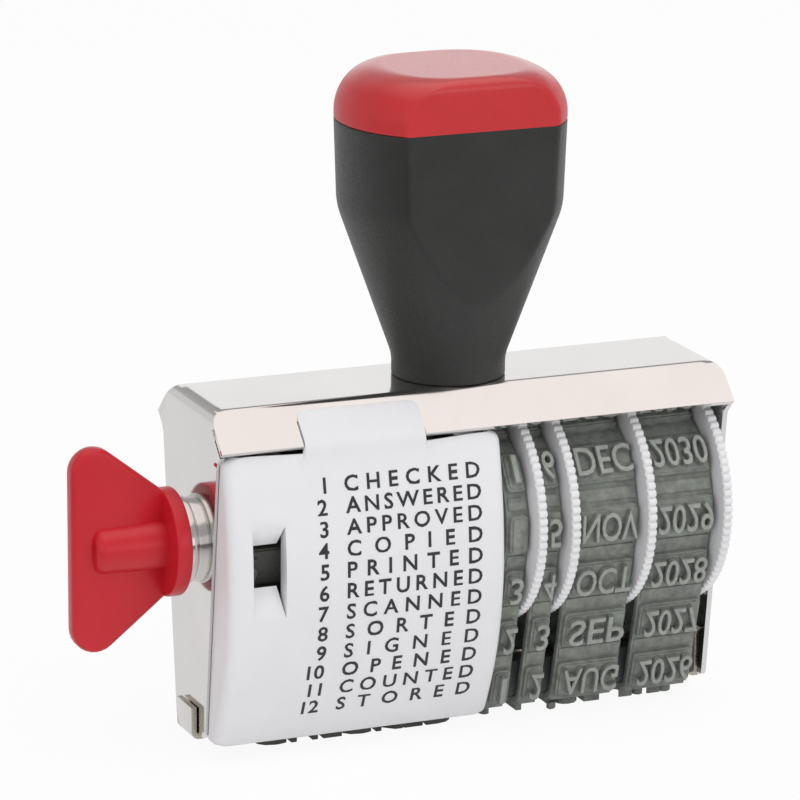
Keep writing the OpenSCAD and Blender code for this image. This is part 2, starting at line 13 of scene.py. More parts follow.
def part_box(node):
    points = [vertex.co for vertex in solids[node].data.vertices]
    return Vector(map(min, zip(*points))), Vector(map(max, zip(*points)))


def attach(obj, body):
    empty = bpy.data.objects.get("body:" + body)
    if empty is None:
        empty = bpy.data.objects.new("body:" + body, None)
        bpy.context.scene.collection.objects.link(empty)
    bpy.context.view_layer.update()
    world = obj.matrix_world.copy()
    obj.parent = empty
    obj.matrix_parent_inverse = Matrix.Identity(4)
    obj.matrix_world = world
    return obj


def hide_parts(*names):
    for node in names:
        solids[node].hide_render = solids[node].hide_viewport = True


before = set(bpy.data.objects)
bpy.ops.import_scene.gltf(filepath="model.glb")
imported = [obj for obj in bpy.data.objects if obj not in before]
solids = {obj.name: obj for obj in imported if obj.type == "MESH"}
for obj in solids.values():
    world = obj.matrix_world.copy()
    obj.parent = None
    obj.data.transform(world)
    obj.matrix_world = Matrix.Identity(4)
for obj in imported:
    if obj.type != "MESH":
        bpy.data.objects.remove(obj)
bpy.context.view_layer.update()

MM = 0.001


def reach(node):
    """A solid's lowest and highest corners, in millimetres."""
    low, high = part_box(node)
    return low / MM, high / MM


SHEET = 0.7
FRAME_X = reach("frame")[1].x
ROOF_Z = reach("frame")[1].z
CHEEK_X = FRAME_X - SHEET
FOOT_Z = 2.5
FOOT_HALF = 5.2
SHOULDER_Z = 40.3
SHOULDER_HALF = 9.8
ROOF_HALF = 7.1
LIP_OUT, LIP_DROP = 4.6, 4.5
LIP_Z = ROOF_Z - LIP_DROP
LIP_SLOPE = Vector((LIP_OUT, LIP_DROP)).normalized()
LIP_BEND = 1.2
LIP_GAP, LIP_GAP_BACK = 0.3, 0.03
CHEEK_BEND = 1.9
AXLE_Z = 28.0
AXLE_R = 2.0

COVER_LEFT = reach("cover")[0].x
COVER_RIGHT = reach("cover")[1].x
COVER_WALL = 0.9
COVER_CURVE = [Vector(p) for p in ((-11.2, 41.45), (-15.4, 25.7), (-14.2, 14.1), (-7.6, 2.1))]
TAB_LEFT, TAB_RIGHT = -24.5, -8.0
WINDOW_LEFT, WINDOW_RIGHT = -32.3, -27.8
WINDOW_LOW, WINDOW_HIGH = 20.4, 32.4
WINDOW_SILL, WINDOW_HEAD = 24.2, 29.8
WINDOW_BACK = -11.45

WHEEL_R = 15.1
DISC = 1.2
DRUM_R = 10.7
TEETH = 88
DIALS = ("tens", "units", "month", "year")

PHRASE_R = 8.0
BAND = 0.9
PLATE = 0.9
TYPE = 0.9
TURN_R = 1.15
POSITIONS = 13
PHRASES = (
    "CHECKED", "ANSWERED", "APPROVED", "COPIED", "PRINTED", "RETURNED",
    "SCANNED", "SORTED", "SIGNED", "OPENED", "COUNTED", "STORED",
)


# Finishes


def add_node(tree, kind, values=None, **settings):
    """A node with its settings and its sockets' values."""
    made = tree.nodes.new(kind)
    for key, value in settings.items():
        setattr(made, key, value)
    for key, value in (values or {}).items():
        made.inputs[key].default_value = value
    return made


def finish(name, light, dark, patch, gloss, grain, relief, **sockets):
    """A surface with patches between two close shades, uneven gloss and a fine grain.

    patch and grain are how many spots fit in a metre, gloss is the least and most roughness,
    and relief is the height of the grain in millimetres.
    """
    skin = bpy.data.materials.new(name)
    skin.use_nodes = True
    tree = skin.node_tree
    shader = tree.nodes["Principled BSDF"]
    where = add_node(tree, "ShaderNodeTexCoord")
    patches = add_node(tree, "ShaderNodeTexNoise", {"Scale": patch, "Detail": 5.0, "Roughness": 0.6})
    shades = add_node(tree, "ShaderNodeValToRGB")
    shades.color_ramp.elements[0].position = 0.3
    shades.color_ramp.elements[0].color = (*dark, 1)
    shades.color_ramp.elements[1].position = 0.7
    shades.color_ramp.elements[1].color = (*light, 1)
    dull = {"From Min": 0.3, "From Max": 0.7, "To Min": gloss[0], "To Max": gloss[1]}
    spread = add_node(tree, "ShaderNodeMapRange", dull)
    grains = add_node(tree, "ShaderNodeTexNoise", {"Scale": grain, "Detail": 3.0})
    bump = add_node(tree, "ShaderNodeBump", {"Strength": 1.0, "Distance": relief * MM})
    tree.links.new(where.outputs["Object"], patches.inputs["Vector"])
    tree.links.new(where.outputs["Object"], grains.inputs["Vector"])
    tree.links.new(patches.outputs["Fac"], shades.inputs["Fac"])
    tree.links.new(shades.outputs["Color"], shader.inputs["Base Color"])
    tree.links.new(grains.outputs["Fac"], spread.inputs["Value"])
    tree.links.new(spread.outputs["Result"], shader.inputs["Roughness"])
    tree.links.new(grains.outputs["Fac"], bump.inputs["Height"])
    tree.links.new(bump.outputs["Normal"], shader.inputs["Normal"])
    for key, value in sockets.items():
        shader.inputs[key.replace("_", " ").title().replace("Ior", "IOR")].default_value = value
    return skin


def polish(skin, low, high):
    """Gloss that comes in between two heights, as where a palm rubs."""
    tree = skin.node_tree
    where = add_node(tree, "ShaderNodeTexCoord")
    parts = add_node(tree, "ShaderNodeSeparateXYZ")
    rubbed = add_node(tree, "ShaderNodeMapRange", {"From Min": low * MM, "From Max": high * MM})
    tree.links.new(where.outputs["Object"], parts.inputs[0])
    tree.links.new(parts.outputs["Z"], rubbed.inputs["Value"])
    tree.links.new(rubbed.outputs["Result"], tree.nodes["Principled BSDF"].inputs["Coat Weight"])


nickel = finish(
    "bright_nickel", (0.80, 0.785, 0.775), (0.76, 0.745, 0.735), 90, (0.08, 0.13), 5200, 0.0004, metallic=1.0
)
steel = finish(
    "bright_steel", (0.55, 0.55, 0.56), (0.45, 0.45, 0.46), 300, (0.25, 0.4), 2500, 0.002, metallic=1.0
)
cut_edge = finish(
    "cut_edge", (0.60, 0.55, 0.47), (0.44, 0.40, 0.33), 500, (0.2, 0.35), 3000, 0.004, metallic=1.0
)
brass = finish(
    "insert_brass", (0.70, 0.52, 0.22), (0.58, 0.42, 0.17), 300, (0.25, 0.4), 2500, 0.002, metallic=1.0
)
grip_black = finish(
    "handle_plastic", (0.016, 0.018, 0.015), (0.010, 0.012, 0.009), 160, (0.42, 0.6), 3200, 0.02,
    specular_ior_level=0.75, sheen_weight=0.14, sheen_roughness=0.35,
)
cap_red = finish(
    "cap_plastic", (0.58, 0.032, 0.036), (0.53, 0.026, 0.030), 120, (0.3, 0.4), 3600, 0.012,
    specular_ior_level=0.35, coat_roughness=0.2,
)
polish(cap_red, ROOF_Z + 38.5, ROOF_Z + 40.5)
key_red = finish("key_plastic", (0.60, 0.012, 0.024), (0.56, 0.010, 0.020), 110, (0.28, 0.36), 1800, 0.002)
white = finish("white_plastic", (0.84, 0.835, 0.85), (0.81, 0.805, 0.82), 130, (0.38, 0.5), 3000, 0.003)
rubber = finish("band_rubber", (0.28, 0.30, 0.27), (0.16, 0.17, 0.155), 900, (0.5, 0.78), 3600, 0.05)
worn_rubber = finish("worn_rubber", (0.38, 0.40, 0.37), (0.26, 0.275, 0.25), 1100, (0.45, 0.65), 3600, 0.02)
phrase_rubber = finish(
    "phrase_rubber", (0.085, 0.084, 0.074), (0.05, 0.05, 0.044), 260, (0.45, 0.7), 3600, 0.02
)
worn_phrase = finish(
    "worn_phrase_rubber", (0.12, 0.118, 0.105), (0.08, 0.08, 0.07), 400, (0.45, 0.65), 3600, 0.02
)
platen_dark = finish("platen_plastic", (0.07, 0.07, 0.072), (0.05, 0.05, 0.052), 200, (0.5, 0.65), 2500, 0.01)
ink = finish("list_print", (0.03, 0.032, 0.034), (0.022, 0.024, 0.026), 500, (0.4, 0.55), 4000, 0.001)


# Making and finishing pieces


def rounded(corners, steps=6):
    """Outline through (u, v, radius) corners, each turned with its radius."""
    outline = []
    for i, (u, v, radius) in enumerate(corners):
        here = Vector((u, v))
        if not radius:
            outline.append((u, v))
            continue
        back = (Vector(corners[i - 1][:2]) - here).normalized()
        on = (Vector(corners[(i + 1) % len(corners)][:2]) - here).normalized()
        half = back.angle(on) / 2
        centre = here + (back + on).normalized() * radius / math.sin(half)
        first = here + back * radius / math.tan(half) - centre
        last = here + on * radius / math.tan(half) - centre
        start = math.atan2(first.y, first.x)
        sweep = (math.atan2(last.y, last.x) - start + 3 * math.pi) % math.tau - math.pi
        for k in range(steps + 1):
            a = start + sweep * k / steps
            outline.append((centre.x + radius * math.cos(a), centre.y + radius * math.sin(a)))
    return outline


def finely(outline, step):
    """The same line with no stretch longer than step."""
    line = [outline[0]]
    for (u0, v0), (u1, v1) in zip(outline, outline[1:]):
        parts = max(1, math.ceil(math.hypot(u1 - u0, v1 - v0) / step))
        line += [(u0 + (u1 - u0) * k / parts, v0 + (v1 - v0) * k / parts) for k in range(1, parts + 1)]
    return line


def turned(profile, steps):
    """A (radius, height) profile spun about Z."""
    bm = bmesh.new()
    line = [bm.verts.new((r, 0, h)) for r, h in profile]
    links = [bm.edges.new(pair) for pair in zip(line, line[1:])]
    bmesh.ops.spin(
        bm, geom=line + links, cent=(0, 0, 0), axis=(0, 0, 1), angle=math.tau, steps=steps, use_merge=True
    )
    bmesh.ops.remove_doubles(bm, verts=bm.verts[:], dist=1e-3)
    bmesh.ops.recalc_face_normals(bm, faces=bm.faces[:])
    return bm


def on_axle(bm):
    """Lay a piece that was spun about Z along the axle."""
    bmesh.ops.rotate(bm, verts=bm.verts[:], matrix=Matrix.Rotation(math.pi / 2, 3, "Y"))
    bmesh.ops.translate(bm, verts=bm.verts[:], vec=(0, 0, AXLE_Z))
    return bm


def grown_verts(result):
    """The corners that an operator made."""
    return [g for g in result["geom"] if isinstance(g, bmesh.types.BMVert)]


def grown_edges(result):
    """The edges that an operator made."""
    return [g for g in result["geom"] if isinstance(g, bmesh.types.BMEdge)]


def slab(outline, depth):
    """An outline in X and Z made a plate of that depth, centred on Y = 0."""
    bm = bmesh.new()
    face = bm.faces.new([bm.verts.new((u, -depth / 2, v)) for u, v in outline])
    grown = bmesh.ops.extrude_face_region(bm, geom=[face])
    bmesh.ops.translate(bm, verts=grown_verts(grown), vec=(0, depth, 0))
    bmesh.ops.recalc_face_normals(bm, faces=bm.faces[:])
    return bm


def soften(bm, width, segments=2, above=35.0):
    """Bevel the edges that turn more than that angle."""
    sharp = [e for e in bm.edges if len(e.link_faces) == 2 and e.calc_face_angle(0) > math.radians(above)]
    bmesh.ops.bevel(
        bm, geom=sharp, offset=width, segments=segments, profile=0.5, affect="EDGES", material=-1,
        clamp_overlap=True,
    )
    return bm


def joined(*parts):
    """Several shapes as one."""
    whole = bmesh.new()
    for part in parts:
        carrier = bpy.data.meshes.new("carrier")
        part.to_mesh(carrier)
        part.free()
        whole.from_mesh(carrier)
        bpy.data.meshes.remove(carrier)
    return whole


def piece(name, bm, skins, body, *stands_for, slot=None, sharp=34.0):
    """Finish a shape in metres as a piece that rides on a body."""
    bmesh.ops.scale(bm, verts=bm.verts[:], vec=(MM, MM, MM))
    mesh = bpy.data.meshes.new(name)
    bm.to_mesh(mesh)
    bm.free()
    for skin in skins:
        mesh.materials.append(skin)
    mesh.shade_smooth()
    mesh.set_sharp_from_angle(angle=math.radians(sharp))
    made = bpy.data.objects.new(name, mesh)
    bpy.context.scene.collection.objects.link(made)
    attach(made, body)
    if stands_for:
        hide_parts(*stands_for)
    return made


def thicken(made, wall, offset, edge, above=50.0):
    """Give a sheet its wall and break its edges."""
    solid = made.modifiers.new("wall", "SOLIDIFY")
    solid.thickness = wall * MM
    solid.offset = offset
    solid.use_even_offset = True
    bevel = made.modifiers.new("edge", "BEVEL")
    bevel.width = edge * MM
    bevel.segments = 2
    bevel.limit_method = "ANGLE"
    bevel.angle_limit = math.radians(above)


# Frame


def lip_reach(z):
    """How far the roof and its lips reach out at that height."""
    drop = ROOF_Z - z
    lean = math.atan2(LIP_DROP, LIP_OUT)
    if drop < LIP_BEND * (1 - math.cos(lean)):
        start = ROOF_HALF - LIP_BEND * math.tan(lean / 2)
        return start + math.sqrt(max(LIP_BEND**2 - (LIP_BEND - drop) ** 2, 0))
    return ROOF_HALF + drop * LIP_OUT / LIP_DROP


def end_reach(z):
    """How far along the roof and its bends into the cheeks reach at that height."""
    up = max(z - (ROOF_Z - CHEEK_BEND), 0)
    return FRAME_X - CHEEK_BEND + math.sqrt(max(CHEEK_BEND**2 - up**2, 0))


BEND_STEPS = 12
BEND_TURNS = [math.pi / 2 * k / BEND_STEPS for k in range(BEND_STEPS + 1)]
BEND_ROWS = [ROOF_Z - CHEEK_BEND * (1 - math.cos(turn)) for turn in BEND_TURNS]
NOTCH_LEFT, NOTCH_RIGHT = TAB_LEFT - 0.2, TAB_RIGHT + 0.06
NOTCH_Z = BEND_ROWS[-1]
ROOF_COLUMNS = (-33, -29, NOTCH_LEFT, -19, -13, NOTCH_RIGHT, 0, 9, 18, 26, 33)
HOLE_ROOM = 6.0
BUSH_HOLE_R, AXLE_HOLE_R = 4.5, AXLE_R + 0.05


def cheek_edge(gap):
    """(Y, Z) points up the edge of a cheek, from its foot to the bend, with that gap under the lip."""
    back = SHEET + gap
    slit_z = ROOF_Z - CHEEK_BEND - 0.3
    corners = [
        (0, FOOT_Z, 0),
        (FOOT_HALF, FOOT_Z, 1.0),
        (SHOULDER_HALF, SHOULDER_Z, 1.6),
        (ROOF_HALF + LIP_OUT - back * LIP_SLOPE.y, LIP_Z - back * LIP_SLOPE.x, 0),
        (lip_reach(slit_z) - back / LIP_SLOPE.y, slit_z, 0),
    ]
    lean = (SHOULDER_HALF - FOOT_HALF) / (SHOULDER_Z - FOOT_Z)
    beside_hole = [AXLE_Z + HOLE_ROOM * k for k in (-1, 0, 1)]
    edge = rounded(corners)[1:] + [(FOOT_HALF + (z - FOOT_Z) * lean, z) for z in beside_hole]
    return sorted(edge, key=lambda point: point[1])


def sheet_grid(lines):
    """A sheet of quads through lines of places."""
    bm = bmesh.new()
    last, most = len(lines) - 1, len(lines[0]) - 1
    bmesh.ops.create_grid(bm, x_segments=last, y_segments=most, size=1)
    for v in bm.verts:
        v.co = lines[round((v.co.x + 1) / 2 * last)][round((v.co.y + 1) / 2 * most)]
    return bm


def roof_and_cheeks():
    """The strip that runs from the left foot over the roof to the right foot."""
    shares = (0, 0.15, 0.5, 0.85, 1)
    bend = [(lip_reach(z), z) for z in reversed(BEND_ROWS)]
    front, back = cheek_edge(LIP_GAP) + bend, cheek_edge(LIP_GAP_BACK) + bend
    ends = [(end_reach(f[1]), f, b) for f, b in zip(front, back)]
    top = (lip_reach(ROOF_Z), ROOF_Z)
    stations = [(-x, f, b) for x, f, b in ends] + [(x, top, top) for x in ROOF_COLUMNS] + ends[::-1]
    lines = []
    for x, (y0, z0), (y1, z1) in stations:
        lines.append([Vector((x, -y0, z0)).lerp((x, y1, z1), share) for share in shares])
    return sheet_grid(lines)


def lip(side):
    """A lip, from the edge of the roof to its own edge in front of the cheeks."""
    rows = BEND_ROWS + [ROOF_Z - LIP_DROP * share for share in (0.6, 0.8, 1.0)]
    lines = [[(-end_reach(z), side * lip_reach(z), z) for z in rows]]
    lines += [[(x, side * lip_reach(z), z) for z in rows] for x in ROOF_COLUMNS]
    lines += [[(end_reach(z), side * lip_reach(z), z) for z in rows]]
    return sheet_grid(lines)


def open_hole(bm, side, radius):
    """Cut the round hole in a cheek."""
    cut = set()
    for f in bm.faces:
        centre = f.calc_center_median()
        near_axle = abs(centre.z - AXLE_Z) < HOLE_ROOM and abs(centre.y) < FOOT_HALF
        if centre.x * side > FRAME_X - 0.1 and near_axle:
            cut.add(f)
    rim = {e for f in cut for e in f.edges if sum(g in cut for g in e.link_faces) == 1}
    bmesh.ops.delete(bm, geom=list(cut), context="FACES")
    circle = bmesh.ops.create_circle(bm, segments=48, radius=radius)["verts"]
    bmesh.ops.rotate(bm, verts=circle, matrix=Matrix.Rotation(math.pi / 2, 3, "Y"))
    bmesh.ops.translate(bm, verts=circle, vec=(side * FRAME_X, 0, AXLE_Z))
    ring = {e for v in circle for e in v.link_edges}
    bmesh.ops.triangle_fill(bm, use_beauty=True, edges=[*rim, *ring], normal=(side, 0, 0))


def make_frame():
    """The bent sheet of the frame: roof, cheeks and the two lips, one with the notch for the tab."""
    front = lip(-1)
    middles = [(f, f.calc_center_median()) for f in front.faces]
    notch = [f for f, m in middles if NOTCH_LEFT < m.x < NOTCH_RIGHT and m.z < NOTCH_Z]
    bmesh.ops.delete(front, geom=notch, context="FACES")
    bm = joined(roof_and_cheeks(), front, lip(1))
    bmesh.ops.remove_doubles(bm, verts=bm.verts[:], dist=2e-3)
    open_hole(bm, -1, BUSH_HOLE_R)
    open_hole(bm, 1, AXLE_HOLE_R)
    bmesh.ops.recalc_face_normals(bm, faces=bm.faces[:])
    if sum(f.normal.z for f in bm.faces) < 0:
        bmesh.ops.reverse_faces(bm, faces=bm.faces[:])
    made = piece("frame_sheet", bm, [nickel], "stamp_body", "frame", slot="bright_nickel")
    thicken(made, SHEET, -1, 0.1)
    even = made.modifiers.new("even", "WEIGHTED_NORMAL")
    even.keep_sharp = True


def make_strap():
    """The strap that carries the platen, folded round the foot of both cheeks."""
    strap, half_width, play = 0.75, 2.7, 0.15
    shelf_z, hook_z = 8.55, 6.1
    top = shelf_z - strap / 2
    low = FOOT_Z - strap / 2
    leg = CHEEK_X - play - strap / 2
    hook = FRAME_X + play + strap / 2
    corners = [
        (0, top, 0),
        (leg, top, 0.75),
        (leg, low, 0.7),
        (hook, low, 0.7),
        (hook, hook_z, 0),
        (0, hook_z, 0),
    ]
    right = rounded(corners)[:-1]
    bm = bmesh.new()
    verts = [bm.verts.new((u, -half_width, v)) for u, v in [(-u, v) for u, v in reversed(right[1:])] + right]
    links = [bm.edges.new(pair) for pair in zip(verts, verts[1:])]
    grown = bmesh.ops.extrude_edge_only(bm, edges=links)
    bmesh.ops.translate(bm, verts=grown_verts(grown), vec=(0, 2 * half_width, 0))
    made = piece(
        "former_strap_sheet", bm, [nickel, cut_edge], "stamp_body", "former_strap", slot="bright_nickel"
    )
    thicken(made, strap, 0, 0.08)
    made.modifiers["wall"].material_offset_rim = 1


# Handle


def soft_limit(value, limit, blend):
    """value held under limit, with a soft turn where it meets it."""
    size = abs(value)
    share = min(max(0.5 + 0.5 * (limit - size) / blend, 0), 1)
    return math.copysign(limit + (size - limit) * share - blend * share * (1 - share), value)


FLAT_HALF = 10.6
SEAM_R = 15.0
GRIP_SEAM = 33.9
SEAM_EDGE = 0.28
CAP_TOP = 40.7
CAP_ROUND, CREASE_ROUND = 6.4, 5.6


def make_grip():
    """The tapered grip with its two flats."""
    neck_r, neck_z = 7.4, 2.56
    belly_r, belly_z = 14.6, 22.5
    corners = [
        (0, 0, 0),
        (neck_r, 0, 0.3),
        (neck_r, neck_z, 6),
        (belly_r, belly_z, 9),
        (SEAM_R, GRIP_SEAM, SEAM_EDGE),
        (0, GRIP_SEAM, 0),
    ]
    bm = turned(finely(rounded(corners), 0.5), 256)
    for v in bm.verts:
        v.co.y = soft_limit(v.co.y, FLAT_HALF, 0.3)
    bmesh.ops.translate(bm, verts=bm.verts[:], vec=(0, 0, ROOF_Z))
    piece("handle_grip", bm, [grip_black], "stamp_body", "handle_body", slot="handle_plastic", sharp=60)


def squared(place):
    """A point of the cap's dome, with the dome's round made tighter towards the creases of the flats."""
    r, toward = math.hypot(place.x, place.y), abs(math.atan2(place.y, abs(place.x)))
    tight = CAP_ROUND - (CAP_ROUND - CREASE_ROUND) * math.sin(2 * toward) ** 2
    inner, low = SEAM_R - CAP_ROUND, CAP_TOP - CAP_ROUND
    if place.z <= low:
        return place
    if r <= inner:
        wide = r / inner * (SEAM_R - tight)
        z = place.z
    else:
        a = math.atan2(r - inner, place.z - low)
        wide = SEAM_R - tight + tight * math.sin(a)
        z = CAP_TOP - tight + tight * math.cos(a)
    return Vector((place.x * wide / max(r, 1e-6), place.y * wide / max(r, 1e-6), z))


def make_cap():
    """The crowned cap over the grip."""
    edge = 1.6
    corners = [
        (0, GRIP_SEAM, 0),
        (SEAM_R, GRIP_SEAM, SEAM_EDGE),
        (SEAM_R, CAP_TOP, CAP_ROUND),
        (0, CAP_TOP, 0),
    ]
    bm = turned(finely(rounded(corners, 16), 0.4), 256)
    for v in bm.verts:
        v.co = squared(v.co)
        rise = min(max(v.co.z - (CAP_TOP - edge), 0), edge)
        limit = FLAT_HALF - edge + math.sqrt(edge * edge - rise * rise)
        v.co.y = soft_limit(v.co.y, limit, 0.25 + 0.15 * rise)
    bmesh.ops.translate(bm, verts=bm.verts[:], vec=(0, 0, ROOF_Z))
    piece("handle_top_cap", bm, [cap_red], "stamp_body", "handle_cap", slot="cap_plastic", sharp=60)


# Key


def make_key():
    """The winged key: flange, boss and wing."""
    tip, face = reach("key")[0].x, reach("key")[1].x
    back = face - 2.0
    ear_r, wing_half, wing_depth = 3.2, 13.5, 2.5
    flange_r, boss_r, boss_root_r, boss_length = 7.05, 3.2, 3.45, 9.4
    root = Vector((face - 1.0, 6.45))
    ear = Vector((tip + ear_r, wing_half - ear_r))
    line = root - ear
    start = math.atan2(line.y, line.x) + math.acos(ear_r / line.length)
    turn = [start + (math.pi - start) * k / 10 for k in range(11)]
    upper = [(root.x, root.y)] + [(ear.x + ear_r * math.cos(a), ear.y + ear_r * math.sin(a)) for a in turn]
    wing = slab(upper + [(u, -v) for u, v in reversed(upper)], wing_depth)
    soften(wing, 0.7, 4, 40)
    bmesh.ops.translate(wing, verts=wing.verts[:], vec=(0, 0, AXLE_Z))
    disc = [(0, back, 0), (flange_r, back, 0.35), (flange_r, face, 0.3), (0, face, 0)]
    flange = on_axle(turned(rounded(disc), 96))
    end, sunk = back - boss_length, back + 0.4
    stem = [(0, end, 0), (boss_r, end, 1.2), (boss_root_r, sunk, 0), (0, sunk, 0)]
    boss = on_axle(turned(rounded(stem), 64))
    piece("turn_key", joined(wing, flange, boss), [key_red], "phrase_key", "key", slot="key_plastic")


def make_bush():
    """The plated bush between the key and the cheek, with its bead."""
    outer, inner = reach("key_bush")[0].x, reach("key_bush")[1].x
    bore = AXLE_R + 0.06
    corners = [
        (bore, outer, 0),
        (5.75, outer, 0.3),
        (5.8, outer + 1.1, 0.2),
        (5.3, outer + 1.15, 0.1),
        (5.3, outer + 1.3, 0.1),
        (5.5, outer + 1.35, 0.1),
        (5.5, -FRAME_X, 0),
        (4.48, -FRAME_X, 0),
        (4.48, inner, 0.2),
        (bore, inner, 0),
        (bore, outer, 0),
    ]
    ring = on_axle(turned(rounded(corners, 4), 96))
    piece("key_bush_ring", ring, [nickel], "stamp_body", "key_bush", slot="bright_nickel")


# Cover


def cover_at(t):
    """Point (Y, Z) of the cover's front, from its top edge at 0 to its bottom edge at 1."""
    a, b, c, d = COVER_CURVE
    u = 1 - t
    return a * u**3 + b * (3 * u * u * t) + c * (3 * u * t * t) + d * t**3


def cover_share(z):
    """Where on the curve the cover's front has that height."""
    low, high = -0.1, 1.1
    for _ in range(40):
        mid = (low + high) / 2
        if cover_at(mid).y > z:
            low = mid
        else:
            high = mid
    return (low + high) / 2


COVER_LENGTH = 44.0
TAB_FOOT = 0.05
TAB_KNEE = 0.45
TAB_START = 0.75 * TAB_KNEE


def tab_at(share):
    """Point (Y, Z) of the tab's face, from the cover's front at 0 to its top edge at 1."""
    foot = cover_at(TAB_FOOT)
    rise = (cover_at(TAB_FOOT - 0.01) - cover_at(TAB_FOOT + 0.01)).normalized()
    knee = Vector((-11.8, 42.31)) + LIP_SLOPE * 1.1
    top = Vector((-8.1, 45.9))
    if share > TAB_KNEE:
        return knee.lerp(top, (share - TAB_KNEE) / (1 - TAB_KNEE))
    t = share / TAB_KNEE
    u = 1 - t
    handles = foot + rise * 1.6, knee - LIP_SLOPE * 1.3
    return foot * u**3 + handles[0] * (3 * u * u * t) + handles[1] * (3 * u * t * t) + knee * t**3


def arc_inset(left_over, radius):
    """How far a round corner draws in, that far from the end of a straight edge."""
    if left_over >= radius:
        return 0.0
    return radius - math.sqrt(radius**2 - (radius - left_over) ** 2)


RELIEF = 7.0
RELIEF_DEPTH = 0.007
RELIEF_END = 0.08
CRISP = 0.25


def cover_columns():
    """Columns across the cover's skin as (X, depth behind the front, share of the way to the back edge)."""
    left_r, right_r, turns = 1.3, 1.1, 6
    sides = (1.0, 0.7, 0.4, 0.12)
    columns = [(COVER_LEFT, left_r, share) for share in sides]
    for k in range(turns + 1):
        a = math.pi / 2 * k / turns
        columns.append((COVER_LEFT + left_r * (1 - math.cos(a)), left_r * (1 - math.sin(a)), 0))
    marks = [WINDOW_LEFT, WINDOW_RIGHT, -33.2, -30.0, -26.2, -5.0, -1.5, 0.4]
    marks += [TAB_LEFT + 2 * k for k in range(1, 8)]
    for edge, out in ((TAB_LEFT, -1), (TAB_RIGHT, 1)):
        marks += [edge - out * CRISP, edge, edge + out * CRISP]
    columns += [(x, 0, 0) for x in sorted(marks)]
    for k in range(turns + 1):
        a = math.pi / 2 * k / turns
        columns.append((COVER_RIGHT - right_r * (1 - math.sin(a)), right_r * (1 - math.cos(a)), 0))
    columns += [(COVER_RIGHT, right_r, share) for share in reversed(sides)]
    return columns


def relief(x):
    """How far the cover's top edge is cut back at a column: most beside the tab, then less and less."""
    out = max(TAB_LEFT - x, x - TAB_RIGHT)
    if out < CRISP / 2:
        return 0
    return RELIEF_DEPTH * max(1 - out / RELIEF, 0)


def cover_spot(column, t):
    """Place of the cover's skin at a column and a share of its height."""
    x, turn, share = column
    if t < RELIEF_END:
        t += relief(x) * (1 - t / RELIEF_END)
    face = cover_at(t)
    lap = -0.15 if x < TAB_LEFT else 0.6
    lean = (face.y - FOOT_Z) / (SHOULDER_Z - FOOT_Z)
    back = lap - FOOT_HALF - (SHOULDER_HALF - FOOT_HALF) * lean
    y, z = face.x + turn + share * max(back - face.x - turn, 0), face.y
    if TAB_LEFT - 0.01 < x < TAB_RIGHT + 0.01 and t < TAB_FOOT:
        y, z = tab_at(TAB_START * (1 - t / TAB_FOOT))
    inset = arc_inset((1 - t) * COVER_LENGTH, 0.9) + arc_inset(t * COVER_LENGTH, 1.4)
    reach_in = 6
    near_left = max(0, 1 - (x - COVER_LEFT) / reach_in)
    near_right = max(0, 1 - (COVER_RIGHT - x) / reach_in)
    return x + inset * (near_left - near_right), y, z


def cut_window(bm, hole):
    """Open the window: sloped panels above and below it that stop short of a straight wall at its right."""
    slit = 0.6

    def at_right(v):
        return v.co.x > WINDOW_RIGHT - 0.01

    rim = {e for f in hole for e in f.edges if sum(g in hole for g in e.link_faces) == 1}
    wall = {e for e in rim if all(at_right(v) for v in e.verts)}
    bmesh.ops.delete(bm, geom=hole, context="FACES")
    for v in grown_verts(bmesh.ops.extrude_edge_only(bm, edges=list(wall))):
        v.co.y = WINDOW_BACK
    for v in grown_verts(bmesh.ops.extrude_edge_only(bm, edges=list(rim - wall))):
        share = (v.co.z - WINDOW_LOW) / (WINDOW_HIGH - WINDOW_LOW)
        short = slit if at_right(v) else 0
        v.co = (v.co.x - short, WINDOW_BACK, WINDOW_SILL + share * (WINDOW_HEAD - WINDOW_SILL))


def raise_tab(bm, edge):
    """Grow the tab from the cover's top edge up to the roof, with round top corners."""
    steps, corner, length = 12, 1.3, 9.1
    middle, half = (TAB_LEFT + TAB_RIGHT) / 2, (TAB_RIGHT - TAB_LEFT) / 2
    for k in range(1, steps + 1):
        share = TAB_START + (1 - TAB_START) * k / steps
        grown = bmesh.ops.extrude_edge_only(bm, edges=edge)
        edge = grown_edges(grown)
        wide = half - arc_inset((1 - share) * length, corner)
        y, z = tab_at(share)
        for v in grown_verts(grown):
            v.co = (middle + max(-wide, min(wide, v.co.x - middle)), y, z)


